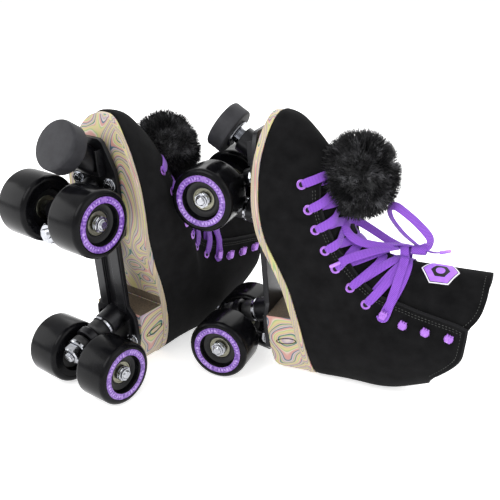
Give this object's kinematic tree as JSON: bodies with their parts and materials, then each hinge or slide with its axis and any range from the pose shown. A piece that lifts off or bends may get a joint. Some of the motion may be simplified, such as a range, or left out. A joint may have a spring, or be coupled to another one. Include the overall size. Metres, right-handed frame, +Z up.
{
  "type": "quad roller skates",
  "caption": "Pair of high-top lace-up roller skates with wedge heel, sprung steering trucks, free-rolling wheels and adjustable toe stops, lying on their backs",
  "frame": {"origin": "middle of the pair's footprint, on the floor it lies on", "axes": "+Z up from the floor, through the toes; +X from the left skate towards the right skate; +Y away from the side that shows both skates' left sides"},
  "size_m": [0.4502, 0.277, 0.2683],
  "materials": {
    "boot_suede": "matte napped",
    "tongue_fabric": "matte napped",
    "lining": "matte",
    "layered_sole": "satin, layered pastel colours",
    "black_metal": "satin",
    "chrome_hardware": "polished",
    "cushion_rubber": "satin",
    "bearing_steel": "ground",
    "wheel_urethane": "glossy",
    "stop_rubber": "matte",
    "lace": "woven",
    "fur": "long pile"
  },
  "bodies": {
    "left_boot": {"left_boot_upper": "boot_suede", "left_tongue": "tongue_fabric", "left_footbed": "lining", "left_outsole": "layered_sole", "left_heel_block": "layered_sole", "left_plate": "black_metal", "left_laces": "lace", "left_pompom": "fur", "left_front_kingpin": "chrome_hardware", "left_rear_kingpin": "chrome_hardware", "left_front_cushions": "cushion_rubber", "left_rear_cushions": "cushion_rubber"},
    "left_front_truck": {"left_front_hanger": "black_metal", "left_front_axle": "chrome_hardware", "left_front_axle_nut_l": "chrome_hardware", "left_front_axle_nut_r": "chrome_hardware"},
    "left_front_wheel_l": {"left_wheel_front_l": "wheel_urethane", "left_bearings_front_l": "bearing_steel"},
    "left_front_wheel_r": {"left_wheel_front_r": "wheel_urethane", "left_bearings_front_r": "bearing_steel"},
    "left_rear_truck": {"left_rear_hanger": "black_metal", "left_rear_axle": "chrome_hardware", "left_rear_axle_nut_l": "chrome_hardware", "left_rear_axle_nut_r": "chrome_hardware"},
    "left_rear_wheel_l": {"left_wheel_rear_l": "wheel_urethane", "left_bearings_rear_l": "bearing_steel"},
    "left_rear_wheel_r": {"left_wheel_rear_r": "wheel_urethane", "left_bearings_rear_r": "bearing_steel"},
    "left_stop": {"left_toe_stop": "stop_rubber", "left_toe_stop_stem": "chrome_hardware"},
    "right_boot": {"right_boot_upper": "boot_suede", "right_tongue": "tongue_fabric", "right_footbed": "lining", "right_outsole": "layered_sole", "right_heel_block": "layered_sole", "right_plate": "black_metal", "right_laces": "lace", "right_pompom": "fur", "right_front_kingpin": "chrome_hardware", "right_rear_kingpin": "chrome_hardware", "right_front_cushions": "cushion_rubber", "right_rear_cushions": "cushion_rubber"},
    "right_front_truck": {"right_front_hanger": "black_metal", "right_front_axle": "chrome_hardware", "right_front_axle_nut_l": "chrome_hardware", "right_front_axle_nut_r": "chrome_hardware"},
    "right_front_wheel_l": {"right_wheel_front_l": "wheel_urethane", "right_bearings_front_l": "bearing_steel"},
    "right_front_wheel_r": {"right_wheel_front_r": "wheel_urethane", "right_bearings_front_r": "bearing_steel"},
    "right_rear_truck": {"right_rear_hanger": "black_metal", "right_rear_axle": "chrome_hardware", "right_rear_axle_nut_l": "chrome_hardware", "right_rear_axle_nut_r": "chrome_hardware"},
    "right_rear_wheel_l": {"right_wheel_rear_l": "wheel_urethane", "right_bearings_rear_l": "bearing_steel"},
    "right_rear_wheel_r": {"right_wheel_rear_r": "wheel_urethane", "right_bearings_rear_r": "bearing_steel"},
    "right_stop": {"right_toe_stop": "stop_rubber", "right_toe_stop_stem": "chrome_hardware"}
  },
  "joints": [
    {"name": "skates_apart", "type": "slide", "parent": "left_boot", "child": "right_boot", "axis": [1, 0, 0], "range_m": [0, 0.4]},
    {"name": "left_front_steer", "type": "hinge", "parent": "left_boot", "child": "left_front_truck", "pos_m": [-0.15026, -0.0626, 0.1988], "axis": [-0.3562, -0.4676, -0.809], "range_deg": [-6, 6], "stiffness_Nm_per_rad": 25, "deforming": ["left_front_cushions"]},
    {"name": "left_front_wheel_l_spin", "type": "hinge", "parent": "left_front_truck", "child": "left_front_wheel_l", "pos_m": [-0.16728, -0.08494, 0.18725], "axis": [0.7955, -0.606, 0], "continuous": true},
    {"name": "left_front_wheel_r_spin", "type": "hinge", "parent": "left_front_truck", "child": "left_front_wheel_r", "pos_m": [-0.16728, -0.08494, 0.18725], "axis": [0.7955, -0.606, 0], "continuous": true},
    {"name": "left_rear_steer", "type": "hinge", "parent": "left_boot", "child": "left_rear_truck", "pos_m": [-0.14084, -0.05023, 0.02499], "axis": [-0.4375, -0.5744, 0.6919], "range_deg": [-6, 6], "stiffness_Nm_per_rad": 25, "deforming": ["left_rear_cushions"]},
    {"name": "left_rear_wheel_l_spin", "type": "hinge", "parent": "left_rear_truck", "child": "left_rear_wheel_l", "pos_m": [-0.15883, -0.07385, 0.03137], "axis": [0.7955, -0.606, 0], "continuous": true},
    {"name": "left_rear_wheel_r_spin", "type": "hinge", "parent": "left_rear_truck", "child": "left_rear_wheel_r", "pos_m": [-0.15883, -0.07385, 0.03137], "axis": [0.7955, -0.606, 0], "continuous": true},
    {"name": "left_toe_stop_height", "type": "slide", "parent": "left_boot", "child": "left_stop", "axis": [-0.5145, -0.6754, 0.5283], "range_m": [-0.004, 0.006]},
    {"name": "right_front_steer", "type": "hinge", "parent": "right_boot", "child": "right_front_truck", "pos_m": [0.00044, -0.01816, 0.1988], "axis": [-0.5431, 0.2249, -0.809], "range_deg": [-6, 6], "stiffness_Nm_per_rad": 25, "deforming": ["right_front_cushions"]},
    {"name": "right_front_wheel_l_spin", "type": "hinge", "parent": "right_front_truck", "child": "right_front_wheel_l", "pos_m": [-0.02551, -0.00741, 0.18725], "axis": [-0.3827, -0.9239, 0], "continuous": true},
    {"name": "right_front_wheel_r_spin", "type": "hinge", "parent": "right_front_truck", "child": "right_front_wheel_r", "pos_m": [-0.02551, -0.00741, 0.18725], "axis": [-0.3827, -0.9239, 0], "continuous": true},
    {"name": "right_rear_steer", "type": "hinge", "parent": "right_boot", "child": "right_rear_truck", "pos_m": [0.0148, -0.02411, 0.02499], "axis": [-0.6671, 0.2763, 0.6919], "range_deg": [-6, 6], "stiffness_Nm_per_rad": 25, "deforming": ["right_rear_cushions"]},
    {"name": "right_rear_wheel_l_spin", "type": "hinge", "parent": "right_rear_truck", "child": "right_rear_wheel_l", "pos_m": [-0.01263, -0.01275, 0.03137], "axis": [-0.3827, -0.9239, 0], "continuous": true},
    {"name": "right_rear_wheel_r_spin", "type": "hinge", "parent": "right_rear_truck", "child": "right_rear_wheel_r", "pos_m": [-0.01263, -0.01275, 0.03137], "axis": [-0.3827, -0.9239, 0], "continuous": true},
    {"name": "right_toe_stop_height", "type": "slide", "parent": "right_boot", "child": "right_stop", "axis": [-0.7844, 0.3249, 0.5283], "range_m": [-0.004, 0.006]}
  ]
}
